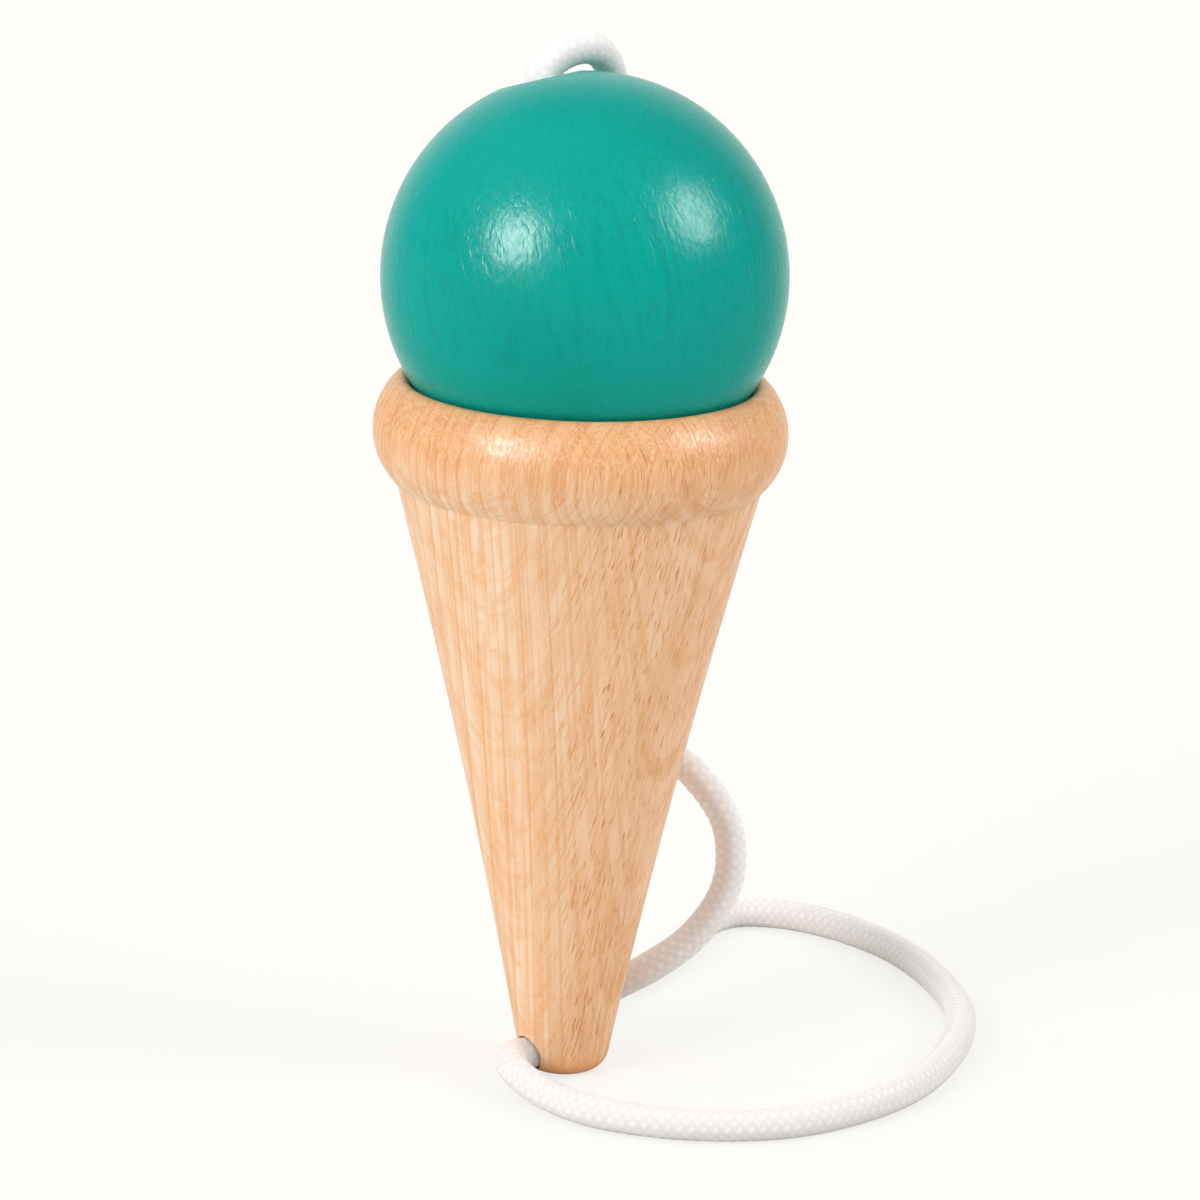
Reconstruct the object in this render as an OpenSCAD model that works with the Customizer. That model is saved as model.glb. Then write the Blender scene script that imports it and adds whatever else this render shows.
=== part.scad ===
// Cup and ball toy: a turned wooden cone with a cup in its wide end, a bored ball that sits in the cup, and one
// cord. The cord is glued into a hole in the foot, runs round the floor, up behind the cone and over the ball,
// and goes down the ball's bore to a stopper knot. Millimetres, +Z up, origin at the middle of the foot.

/* [Ball] */
// Diameter of the ball
ball_d = 60; // [54:0.5:68]
// Lean of the bore from upright, in degrees
bore_tilt = 18; // [0:1:30]
// Direction that the top of the bore leans to, in degrees from +X
bore_turn = 143; // [0:1:359]
// Width of the countersink where it meets the ball's skin
mouth_d = 11.2; // [8:0.1:14]
// Depth of the countersink along the bore
mouth_depth = 4; // [2:0.1:6]
// Depth of the knot's recess, from the ball's lowest point up to its seat
knot_room_depth = 14; // [12:0.5:18]

/* [Cone] */
// Height of the neck, where the straight wall ends and the rim bead begins
neck_h = 91; // [80:0.5:100]
// Diameter of the wall at the neck
neck_d = 54.1; // [50:0.1:58]
// Diameter of the wall if it ran straight down to the floor
foot_d = 12.5; // [11:0.1:16]
// Rounding of the foot's edge
foot_edge_r = 3.5; // [1:0.1:4]
// How far the wall dips inside a straight taper at half height
wall_hollow = 0.84; // [0:0.02:1.5]

/* [Rim] */
// Diameter over the rim bead
bead_d = 61.3; // [59:0.1:66]
// Radius of the bead's round section
bead_r = 10.3; // [9:0.1:12]
// Radius of the lip between bead and cup
lip_r = 1.4; // [0.8:0.1:2.5]
// Angle above level at which the bead runs into the lip, in degrees
lip_angle = 45; // [35:1:55]
// Clearance between the lip and the resting ball
seat_gap = 0.2; // [0.1:0.05:0.5]

/* [Cord] */
// Thickness of the cord
cord_d = 4.7; // [3.5:0.1:5]
// Play around the cord in its two holes
hole_play = 0.35; // [0.3:0.05:0.8]
// Height of the foot hole's middle
hole_h = 3.3; // [3.2:0.1:8]
// Direction that the foot hole opens to, in degrees from +X
hole_turn = 217; // [180:1:240]
// How far the foot hole runs past the cone's axis
hole_past = 3.5; // [1:0.1:4]
// Diameter of the stopper knot
knot_d = 11.5; // [9:0.1:13]
// Length of the stopper knot along the bore
knot_len = 9.5; // [7:0.1:10.5]
// Play around the knot in its recess
knot_play = 0.25; // [0.1:0.05:0.5]
// Clearance between the cord and the floor that it lies on
floor_gap = 0.05; // [0.02:0.01:0.2]

/* [Hidden] */
$fn = 96;

// Extra length of a cutting tool past the skin that it cuts
past_skin = 1;
// Straight stretches that the cone's hollow wall is turned in
wall_steps = 16;
// Sides of the cord's section, and stretches of curve between two points of its route
cord_sides = 10;
route_steps = 2;

// Rim: the bead passes through the neck, and the lip runs into the bead and into the cup
bead_mid_r = bead_d / 2 - bead_r;
bead_mid_z = neck_h + sqrt(pow(bead_r, 2) - pow(neck_d / 2 - bead_mid_r, 2));
lip_mid_r = bead_mid_r + (bead_r - lip_r) * cos(lip_angle);
lip_mid_z = bead_mid_z + (bead_r - lip_r) * sin(lip_angle);
cup_r = lip_mid_r - lip_r;

// Wall: a straight taper with a shallow, even hollow
wall_step = neck_h / wall_steps;
function taper_r(z) = foot_d / 2 + (neck_d - foot_d) / 2 * z / neck_h;
function wall_r(z) = taper_r(z) - 4 * wall_hollow * (z / neck_h) * (1 - z / neck_h);

// Foot: its edge rounding touches the floor and the lowest stretch of the wall
foot_slope = (wall_r(wall_step) - wall_r(0)) / wall_step;
foot_secant = sqrt(1 + pow(foot_slope, 2));
foot_flat_r = foot_d / 2 + foot_edge_r * (foot_slope - foot_secant);
foot_edge_end = [foot_flat_r + foot_edge_r / foot_secant, foot_edge_r * (1 - foot_slope / foot_secant)];

// Ball: it rests on the lip, and its bore runs through its middle
ball_r = ball_d / 2;
ball_mid = [0, 0, lip_mid_z + sqrt(pow(ball_r + lip_r + seat_gap, 2) - pow(lip_mid_r, 2))];
bore_axis = [sin(bore_tilt) * cos(bore_turn), sin(bore_tilt) * sin(bore_turn), cos(bore_tilt)];
mouth_r = mouth_d / 2;
mouth_end = sqrt(pow(ball_r, 2) - pow(mouth_r, 2));
knot_seat = knot_room_depth - ball_r;
knot_room_d = knot_d + 2 * knot_play;
knot_top = knot_seat - knot_play;

// Holes for the cord
hole_d = cord_d + 2 * hole_play;
hole_axis = [cos(hole_turn), sin(hole_turn), 0];
hole_mid = [0, 0, hole_h];

// Route of the cord from the foot hole round the floor and up behind the cone
lying_z = cord_d / 2 + floor_gap;
loop_route = [
    hole_mid - hole_axis * hole_past,
    hole_mid + hole_axis * wall_r(hole_h),
    [-7.5, -6.5, 3.7],
    [-7.9, -9.9, 3.8],
    [-6.5, -14.3, 3.3],
    [-2.7, -20, 2.6],
    [5.3, -27.8, lying_z],
    [19, -32, lying_z],
    [33.2, -30, lying_z],
    [46.3, -20.2, lying_z],
    [55.2, -6, lying_z],
    [61, 21.5, lying_z],
    [54, 50.7, lying_z],
    [44, 65, lying_z],
    [34, 71.3, lying_z],
    [27.2, 71.2, lying_z],
    [22.4, 66, lying_z],
    [18.7, 54, lying_z],
    [12.8, 40.8, lying_z],
    [4.3, 27.4, 2.6],
    [2.6, 21.5, 3.8],
    [5.2, 15.4, 6.8],
    [11.6, 12.7, 11.2],
    [19.4, 13.4, 17],
    [24.2, 15, 24.8],
    [23.9, 16.4, 33.8],
    [18.8, 18.6, 40.9],
    [11.2, 23.2, 45.6],
    [4.6, 30.8, 57],
    [5, 35.2, 103],
];

// Route over the ball, measured from the ball's middle, then down the bore to the knot
arch_offsets = [
    [5, 34.6, -1],
    [4.2, 27.8, 19],
    [2, 17.6, 29.2],
    [-0.2, 14, 31.2],
    [-2.9, 11.3, 31.3],
    [-5.4, 8.9, 30.2],
    [-7.2, 6.5, 28.1],
];
bore_stops = [25, 20, knot_top];
arch_route = concat([for (p = arch_offsets) ball_mid + p], [for (s = bore_stops) ball_mid + bore_axis * s]);
route = concat(loop_route, arch_route);

// Smooth curve through all points of a route, with the same number of steps between each two
function unit(v) = v / norm(v);
function mix(a, b, share) = a + (b - a) * share;
function span(a, b) = sqrt(norm(b - a));
function curve_point(a, b, c, d, share) =
    let (
        to_b = span(a, b),
        to_c = to_b + span(b, c),
        to_d = to_c + span(c, d),
        at = mix(to_b, to_c, share),
        ab = mix(a, b, at / to_b),
        bc = mix(b, c, share),
        cd = mix(c, d, (at - to_c) / (to_d - to_c)),
        abc = mix(ab, bc, at / to_c),
        bcd = mix(bc, cd, (at - to_b) / (to_d - to_b))
    )
    mix(abc, bcd, share);
function smooth_line(points, steps) =
    let (
        last = len(points) - 1,
        before = 2 * points[0] - points[1],
        after = 2 * points[last] - points[last - 1],
        all = concat([before], points, [after]),
        curve = [
            for (i = [1 : last])
            for (s = [0 : steps - 1])
            curve_point(all[i - 1], all[i], all[i + 1], all[i + 2], s / steps)
        ]
    )
    concat(curve, [points[last]]);

// Heading of a line at each of its points; its two ends head straight along the route's end stretches
function headings(line, points) =
    let (last = len(line) - 1, stop = len(points) - 1)
    [
        for (i = [0 : last])
        i == 0 ? unit(points[1] - points[0])
        : i == last ? unit(points[stop] - points[stop - 1])
        : unit(line[i + 1] - line[i - 1])
    ];

// Side direction at each point, carried along the line without twisting
function square_to(v, heading) = unit(v - (v * heading) * heading);
function sides_along(ways, done = []) =
    let (i = len(done))
    i == len(ways) ? done
    : sides_along(ways, concat(done, [square_to(i == 0 ? [0, 0, 1] : done[i - 1], ways[i])]));

// Rings of points around the whole cord, shared by its two stretches
line = smooth_line(route, route_steps);
ways = headings(line, route);
sides = sides_along(ways);
function ring(i) =
    let (side = sides[i], up = cross(ways[i], sides[i]))
    [
        for (k = [0 : cord_sides - 1])
        let (turn = 360 * k / cord_sides)
        line[i] + cord_d / 2 * (side * cos(turn) + up * sin(turn))
    ];
split_ring = (len(loop_route) - 1) * route_steps;
last_ring = len(line) - 1;

// Closed tube through the rings from one to another
module cord_stretch(from, to) {
    count = to - from + 1;
    points = [for (i = [from : to]) each ring(i)];
    skin = [
        for (i = [0 : count - 2])
        for (k = [0 : cord_sides - 1])
        let (
            near = i * cord_sides,
            far = near + cord_sides,
            next = (k + 1) % cord_sides
        )
        each [[near + k, far + k, far + next], [near + k, far + next, near + next]]
    ];
    end = (count - 1) * cord_sides;
    first_cap = [for (k = [1 : cord_sides - 2]) [0, k, k + 1]];
    last_cap = [for (k = [1 : cord_sides - 2]) [end, end + k + 1, end + k]];
    polyhedron(points = points, faces = concat(skin, first_cap, last_cap));
}

// Outline of the cone from the axis outwards: foot, hollow wall, bead, lip and cup
module cone_outline() {
    wall = [for (i = [1 : wall_steps]) [wall_r(i * wall_step), i * wall_step]];
    top = [[bead_mid_r, lip_mid_z], [0, lip_mid_z]];
    difference() {
        union() {
            polygon(concat([[0, 0], [foot_flat_r, 0], foot_edge_end], wall, top));
            translate([foot_flat_r, foot_edge_r]) half_disc(foot_edge_r);
            translate([bead_mid_r, bead_mid_z]) circle(r = bead_r);
        }
        above_lip();
        translate([0, lip_mid_z]) circle(r = cup_r);
    }
    translate([lip_mid_r, lip_mid_z]) circle(r = lip_r);
}

// Right-hand half of a disc
module half_disc(r) {
    intersection() {
        circle(r = r);
        translate([0, -r - past_skin]) square([r + past_skin, 2 * (r + past_skin)]);
    }
}

// Space over the cup and the lip
module above_lip() {
    ray = bead_d * [cos(lip_angle), sin(lip_angle)];
    lip_mid = [lip_mid_r, lip_mid_z];
    polygon([lip_mid, lip_mid + ray, [0, lip_mid_z + ray[1]], [0, lip_mid_z]]);
}

// Places its children on the ball's bore, at a height along it from the ball's middle
module on_bore(height) {
    translate(ball_mid) rotate([0, bore_tilt, bore_turn]) translate([0, 0, height]) children();
}

module cup_cone() {
    color("BurlyWood")
    difference() {
        rotate_extrude() cone_outline();
        translate(hole_mid) rotate([0, 90, hole_turn]) translate([0, 0, -hole_past])
        cylinder(d = hole_d, h = hole_past + neck_d / 2);
    }
}

module ball() {
    bore_len = ball_d + 2 * past_skin;
    mouth_slope = (mouth_r - hole_d / 2) / mouth_depth;
    mouth_len = ball_r + past_skin - mouth_end + mouth_depth;
    color("LightSeaGreen")
    difference() {
        translate(ball_mid) sphere(r = ball_r);
        on_bore(-bore_len / 2) cylinder(d = hole_d, h = bore_len);
        on_bore(mouth_end - mouth_depth)
        cylinder(r1 = hole_d / 2, r2 = hole_d / 2 + mouth_slope * mouth_len, h = mouth_len);
        on_bore(-bore_len / 2) cylinder(d = knot_room_d, h = bore_len / 2 + knot_seat);
    }
}

module cord_loop() {
    color("WhiteSmoke") cord_stretch(0, split_ring);
}

module cord_arch() {
    color("WhiteSmoke") cord_stretch(split_ring, last_ring);
}

module cord_knot() {
    color("WhiteSmoke")
    on_bore(knot_top - knot_len / 2)
    intersection() {
        sphere(d = knot_d);
        cube([knot_d, knot_d, knot_len], center = true);
    }
}

cup_cone();
ball();
cord_loop();
cord_arch();
cord_knot();
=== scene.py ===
"""Looks of a cup and ball toy: a lacquered beech cone, a painted ball and one braided cord, in metres.

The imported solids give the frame. The cone, the ball, the cord and its knot are worked out again as finer
surfaces with their finishes, and a pale floor, soft lamps and a camera show them.
"""

import logging
import math
from dataclasses import dataclass
from enum import Enum
from typing import Any, Union

import bpy
import numpy as np
from mathutils import Matrix, Vector


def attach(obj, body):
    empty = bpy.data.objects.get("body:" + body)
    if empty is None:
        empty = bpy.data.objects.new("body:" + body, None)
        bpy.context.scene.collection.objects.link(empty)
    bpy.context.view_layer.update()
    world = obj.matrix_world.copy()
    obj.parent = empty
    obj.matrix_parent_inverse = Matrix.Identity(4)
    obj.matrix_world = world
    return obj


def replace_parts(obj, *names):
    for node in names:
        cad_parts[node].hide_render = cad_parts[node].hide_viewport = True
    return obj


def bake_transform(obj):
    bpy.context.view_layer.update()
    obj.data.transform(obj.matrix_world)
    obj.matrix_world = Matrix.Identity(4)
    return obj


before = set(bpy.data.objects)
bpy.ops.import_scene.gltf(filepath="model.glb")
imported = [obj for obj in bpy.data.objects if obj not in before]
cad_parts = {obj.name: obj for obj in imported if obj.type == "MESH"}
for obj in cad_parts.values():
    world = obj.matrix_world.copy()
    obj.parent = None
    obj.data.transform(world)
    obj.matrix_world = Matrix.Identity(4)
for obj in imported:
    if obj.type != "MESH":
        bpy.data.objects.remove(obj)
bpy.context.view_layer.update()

log = logging.getLogger("cup_and_ball")
Colour = tuple[float, float, float]
Point = tuple[float, float, float]
Span = tuple[float, float]
ORIGIN: Point = (0.0, 0.0, 0.0)
SHARP_EDGE = math.radians(40)


class Body(Enum):
    """Moving bodies of the toy, as the frame names them."""

    CONE = "cone"
    CORD_END = "cord_end"
    BALL = "ball"


class Slot(Enum):
    """Material slots of the record."""

    BEECH = "beech"
    PAINT = "painted_beech"
    CORD = "cord"


class Value:
    """A number in a node tree. Python's operators on it add Math nodes."""

    def __init__(self, graph: "Graph", socket: bpy.types.NodeSocket) -> None:
        """Wraps one output socket of a graph."""
        self.graph = graph
        self.socket = socket

    def __add__(self, other: "Number") -> "Value":
        """Sum with another number."""
        return self.graph.math("ADD", self, other)

    def __radd__(self, other: "Number") -> "Value":
        """Sum with a number on the left."""
        return self.graph.math("ADD", other, self)

    def __sub__(self, other: "Number") -> "Value":
        """Difference to another number."""
        return self.graph.math("SUBTRACT", self, other)

    def __rsub__(self, other: "Number") -> "Value":
        """Difference from a number on the left."""
        return self.graph.math("SUBTRACT", other, self)

    def __mul__(self, other: "Number") -> "Value":
        """Product with another number."""
        return self.graph.math("MULTIPLY", self, other)

    def __rmul__(self, other: "Number") -> "Value":
        """Product with a number on the left."""
        return self.graph.math("MULTIPLY", other, self)

    def __truediv__(self, other: "Number") -> "Value":
        """Quotient by another number."""
        return self.graph.math("DIVIDE", self, other)

    def __rtruediv__(self, other: "Number") -> "Value":
        """Quotient of a number on the left."""
        return self.graph.math("DIVIDE", other, self)

    def __abs__(self) -> "Value":
        """Size of the number without its sign."""
        return self.graph.math("ABSOLUTE", self)

    def fraction(self) -> "Value":
        """Part of the number after its whole part."""
        return self.graph.math("FRACT", self)

    def whole(self) -> "Value":
        """Largest whole number that is not above the number."""
        return self.graph.math("FLOOR", self)

    def cosine(self) -> "Value":
        """Cosine of the number as an angle in radians."""
        return self.graph.math("COSINE", self)

    def at_least(self, other: "Number") -> "Value":
        """Larger of two numbers."""
        return self.graph.math("MAXIMUM", self, other)

    def rise(self, low: float, high: float) -> "Value":
        """Smooth step of the number.

        Args:
            low: Where the step starts from 0.
            high: Where the step reaches 1.

        Returns:
            A number from 0 to 1.
        """
        sockets = {"Value": self, "From Min": low, "From Max": high}
        node = self.graph.node("ShaderNodeMapRange", {"interpolation_type": "SMOOTHSTEP"}, sockets)
        return Value(self.graph, node.outputs["Result"])


Number = Union[Value, float]


@dataclass(frozen=True)
class Mottle:
    """A soft noise of a finish.

    It has waves in a metre along each axis, and octaves of finer detail on top. Its mask steps from 0 at the
    low level to the share at the high level.
    """

    waves: Point
    detail: float = 0.0
    low: float = 0.0
    high: float = 1.0
    share: float = 1.0

    def mask(self, noise: Value) -> Value:
        """Steps the noise between its two levels."""
        return noise.rise(self.low, self.high) * self.share


class Graph:
    """A node tree that is being written."""

    def __init__(self, tree: bpy.types.NodeTree) -> None:
        """Takes a node tree and empties it."""
        self.tree = tree
        self.tree.nodes.clear()

    def node(self, kind: str, settings: dict[str, Any], sockets: dict[Any, Any]) -> bpy.types.Node:
        """Adds a node.

        Args:
            kind: Blender's name of the node's type.
            settings: Values of the node's own properties, which are set first.
            sockets: Values or links of its input sockets, by name or number.

        Returns:
            The new node.
        """
        node = self.tree.nodes.new(kind)
        for name, value in settings.items():
            setattr(node, name, value)
        for name, value in sockets.items():
            source = value.socket if isinstance(value, Value) else value
            if isinstance(source, bpy.types.NodeSocket):
                self.tree.links.new(source, node.inputs[name])
            else:
                node.inputs[name].default_value = source
        return node

    def math(self, operation: str, first: Number, second: Number = 0.0) -> Value:
        """Adds a Math node on one or two numbers and returns its result."""
        node = self.node("ShaderNodeMath", {"operation": operation}, {0: first, 1: second})
        return Value(self, node.outputs[0])

    def vector(self, operation: str, *vectors: Any) -> bpy.types.Node:
        """Adds a Vector Math node on one or two vectors or colours."""
        return self.node("ShaderNodeVectorMath", {"operation": operation}, dict(enumerate(vectors)))

    def mix(self, share: Number, first: Any, second: Any) -> bpy.types.NodeSocket:
        """Mixes two colours.

        Args:
            share: Share of the second colour, from 0 to 1.
            first: First colour, as a socket or as red, green and blue.
            second: Second colour, the same.

        Returns:
            The socket of the mixed colour.
        """
        colours = [(*c, 1.0) if isinstance(c, tuple) else c for c in (first, second)]
        sockets = {"Factor": share, 6: colours[0], 7: colours[1]}
        node = self.node("ShaderNodeMix", {"data_type": "RGBA"}, sockets)
        return node.outputs[2]

    def place(self, turn: Point = ORIGIN, centre: Point = ORIGIN) -> bpy.types.NodeSocket:
        """Object coordinates, seen from a frame of the piece's own.

        Args:
            turn: Angles by which that frame is turned about X, Y and Z.
            centre: Origin of that frame.

        Returns:
            The socket of the coordinates in that frame, in metres.
        """
        own = self.node("ShaderNodeTexCoord", {}, {}).outputs["Object"]
        sockets = {"Vector": own, "Location": centre, "Rotation": turn}
        return self.node("ShaderNodeMapping", {"vector_type": "TEXTURE"}, sockets).outputs["Vector"]

    def axes(self, vector: bpy.types.NodeSocket) -> tuple[Value, Value, Value]:
        """Splits a vector into its three numbers."""
        node = self.node("ShaderNodeSeparateXYZ", {}, {"Vector": vector})
        return tuple(Value(self, socket) for socket in node.outputs)

    def noise(self, place: bpy.types.NodeSocket, mottle: Mottle) -> Value:
        """Adds the noise of a mottle.

        Args:
            place: Coordinates in metres.
            mottle: Waves and detail of the noise.

        Returns:
            A number around 0.5.
        """
        spread = self.vector("MULTIPLY", place, mottle.waves).outputs["Vector"]
        sockets = {"Vector": spread, "Scale": 1.0, "Detail": mottle.detail}
        return Value(self, self.node("ShaderNodeTexNoise", {}, sockets).outputs["Fac"])

    def bump(self, height: Value, depth: float) -> bpy.types.NodeSocket:
        """Turns a height from 0 to 1 into a surface normal, with its depth in metres."""
        return self.node("ShaderNodeBump", {}, {"Height": height, "Distance": depth}).outputs["Normal"]

    def finish(self, sockets: dict[str, Any]) -> None:
        """Adds the surface shader with these sockets, and the tree's output."""
        surface = self.node("ShaderNodeBsdfPrincipled", {}, sockets).outputs["BSDF"]
        self.node("ShaderNodeOutputMaterial", {}, {"Surface": surface})


def new_material(name: str) -> tuple[bpy.types.Material, Graph]:
    """Makes an empty node material.

    Args:
        name: Name of the material.

    Returns:
        The material, and the graph that writes it.
    """
    material = bpy.data.materials.new(name)
    material.use_nodes = True
    return material, Graph(material.node_tree)


@dataclass(frozen=True)
class BeechFinish:
    """Light turned beech under a clear satin lacquer.

    Growth layers are flat sheets that stand nearly upright in the wood. They show as thin late lines where
    the skin cuts across them, and there, away from the rim, the wood is painted paler: partly its own silk,
    partly painted sheen. Rays run square to the layers and end as short brown flecks where the skin lies
    along a layer. The rim is painted warmer than the wall, as painted shade on the bead, and the edge of the
    foot is painted darker, as painted shade where it meets the floor.
    """

    name: str = "lacquered_beech"
    pale: Colour = (0.93, 0.605, 0.385)
    # The silk colour is the wood's own pale colour in the pores, and painted sheen where the skin cuts the
    # layers.
    silk_and_sheen: Colour = (0.90, 0.69, 0.505)
    warm: Colour = (0.80, 0.395, 0.155)
    late: Colour = (0.79, 0.36, 0.125)
    ray: Colour = (0.64, 0.22, 0.065)
    # The silk share is partly the wood's own silk and partly painted sheen.
    silk_and_sheen_share: float = 0.7
    late_share: float = 0.8
    ray_share: float = 0.8

    # Growth layers: lengths in metres, and spans as shares of one layer or of the skin's lean.
    layer_turn: float = math.radians(-36)
    grain_lean: float = math.radians(5)
    layer_gap: float = 0.00395
    layer_start: float = 0.0079
    sway_depth: float = 0.0008
    late_fade: Span = (0.2, 0.96)
    late_line: Span = (0.84, 0.95)
    late_end: Span = (0.965, 1.0)
    line_part: float = 0.7
    flat_cut: Span = (0.3, 0.85)
    flat_loss: float = 0.8
    stray_rays: float = 0.1

    # Noises of the wood.
    sway: Mottle = Mottle((45.0, 45.0, 14.0), 1.0)
    patches: Mottle = Mottle((160.0, 160.0, 30.0), 1.0, 0.25, 0.6, 0.7)
    rays: Mottle = Mottle((90.0, 5800.0, 400.0), 0.0, 0.65, 0.71)
    clusters: Mottle = Mottle((90.0, 420.0, 110.0), 0.0, 0.28, 0.5)
    tone: Mottle = Mottle((55.0, 55.0, 16.0), 2.0, 0.42, 0.72, 0.3825)
    band: Mottle = Mottle((430.0, 430.0, 10.0), 1.0, 0.42, 0.62, 0.35)
    fibre: Mottle = Mottle((1500.0, 50.0, 12.0), 3.0, 0.45, 0.63, 0.45)
    grain: Mottle = Mottle((240.0, 1900.0, 90.0), 2.0, 0.47, 0.66, 0.35)
    pores: Mottle = Mottle((4200.0, 4200.0, 340.0), 1.0, 0.45, 0.65, 0.25)
    ripple: Mottle = Mottle((1900.0, 1900.0, 800.0), 1.0, 0.38, 0.64, 0.2)

    # Rim and foot: spans of height above the floor, and what changes there. The rim's warmth and the foot's
    # darker edge are painted shade.
    rim: Span = (0.09, 0.103)
    rim_painted_shade: float = 0.85
    rim_line: float = 0.7
    rim_pores: float = 0.6
    foot: Span = (0.0003, 0.005)
    foot_shade: float = 0.75

    # Lacquer, and the depth of the relief with each pattern's share of it.
    roughness: float = 0.3
    specular: float = 0.22
    relief: float = 0.000012
    fibre_relief: float = 0.5
    pore_relief: float = 0.5
    ripple_relief: float = 4.0
    fleck_relief: float = 0.08

    def flat_sawn(self, graph: Graph) -> Value:
        """Tells where the skin lies along the layers, by how far its normal points across them.

        Args:
            graph: Nodes of the material.

        Returns:
            1 along the layers and 0 square to them.
        """
        skin = graph.node("ShaderNodeTexCoord", {}, {}).outputs["Normal"]
        facing = (math.cos(self.layer_turn), math.sin(self.layer_turn), 0.0)
        lean = graph.vector("DOT_PRODUCT", skin, facing).outputs["Value"]
        return abs(Value(graph, lean)).rise(*self.flat_cut)

    def late_lines(self, graph: Graph, wood: bpy.types.NodeSocket, flat_sawn: Value) -> Value:
        """Draws the late lines of the layers.

        A layer's number is the depth across the layers, plus a sway, divided by the gap. Its fraction runs
        from 0 to 1 through one layer, and the line fades in towards the layer's end.

        Args:
            graph: Nodes of the material.
            wood: Coordinates along the grain.
            flat_sawn: Where the skin lies along the layers.

        Returns:
            Strength of the lines, from 0 to 1.
        """
        across, _, _ = graph.axes(wood)
        sway = graph.noise(wood, self.sway) - 0.5
        layer = ((across + sway * self.sway_depth + self.layer_start) / self.layer_gap).fraction()
        fade = layer.rise(*self.late_fade) * (1 - self.line_part)
        line = fade + layer.rise(*self.late_line) * self.line_part
        patchy = self.patches.mask(graph.noise(wood, self.patches)) + (1 - self.patches.share)
        return line * (1 - layer.rise(*self.late_end)) * patchy * (1 - flat_sawn * self.flat_loss)

    def flecks(self, graph: Graph, wood: bpy.types.NodeSocket, flat_sawn: Value) -> Value:
        """Draws the ends of the rays, which stand in clusters.

        Args:
            graph: Nodes of the material.
            wood: Coordinates along the grain.
            flat_sawn: Where the skin lies along the layers.

        Returns:
            Strength of the flecks, from 0 to 1.
        """
        rays, clusters = (mottle.mask(graph.noise(wood, mottle)) for mottle in (self.rays, self.clusters))
        return rays * clusters * (flat_sawn * (1 - self.stray_rays) + self.stray_rays)

    def material(self) -> bpy.types.Material:
        """Writes the material, with the rim and the foot told apart by their height.

        Returns:
            The beech material.
        """
        material, graph = new_material(self.name)
        _, _, height = graph.axes(graph.place())
        rim = height.rise(*self.rim)
        foot = 1 - height.rise(*self.foot)
        wood = graph.place((0.0, self.grain_lean, self.layer_turn))
        flat_sawn = self.flat_sawn(graph)
        late = self.late_lines(graph, wood, flat_sawn)
        fleck = self.flecks(graph, wood, flat_sawn)
        fibre, pores, ripple = (graph.noise(wood, mottle) for mottle in (self.fibre, self.pores, self.ripple))
        tone, band, grain = (
            mottle.mask(graph.noise(wood, mottle)) for mottle in (self.tone, self.band, self.grain)
        )

        line = graph.mix(rim * self.rim_line, self.late, self.ray)
        # The rim is painted warmer than the wall: painted shade on the bead.
        colour = graph.mix(tone + rim * (self.rim_painted_shade - tone), self.pale, self.warm)
        # Away from the rim, where the skin cuts across the layers, the wood is painted paler: partly silk,
        # partly painted sheen.
        colour = graph.mix((1 - flat_sawn) * (1 - rim) * self.silk_and_sheen_share, colour, self.silk_and_sheen)
        colour = graph.mix(band, colour, self.warm)
        colour = graph.mix(late * self.late_share, colour, line)
        colour = graph.mix(self.fibre.mask(fibre), colour, line)
        colour = graph.mix(grain, colour, line)
        colour = graph.mix(self.pores.mask(pores) * (rim * self.rim_pores + 1.0), colour, self.silk_and_sheen)
        colour = graph.mix(fleck * self.ray_share, colour, self.ray)
        # The lowest edge of the foot is painted darker: painted shade where it meets the floor.
        colour = graph.mix(foot * self.foot_shade, colour, self.late)
        raised = fibre * self.fibre_relief + pores * self.pore_relief + ripple * self.ripple_relief
        graph.finish({
            "Base Color": colour,
            "Roughness": self.roughness + self.ripple.mask(ripple),
            "Specular IOR Level": self.specular,
            "Normal": graph.bump(raised - fleck * self.fleck_relief, self.relief),
        })
        return material


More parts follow.
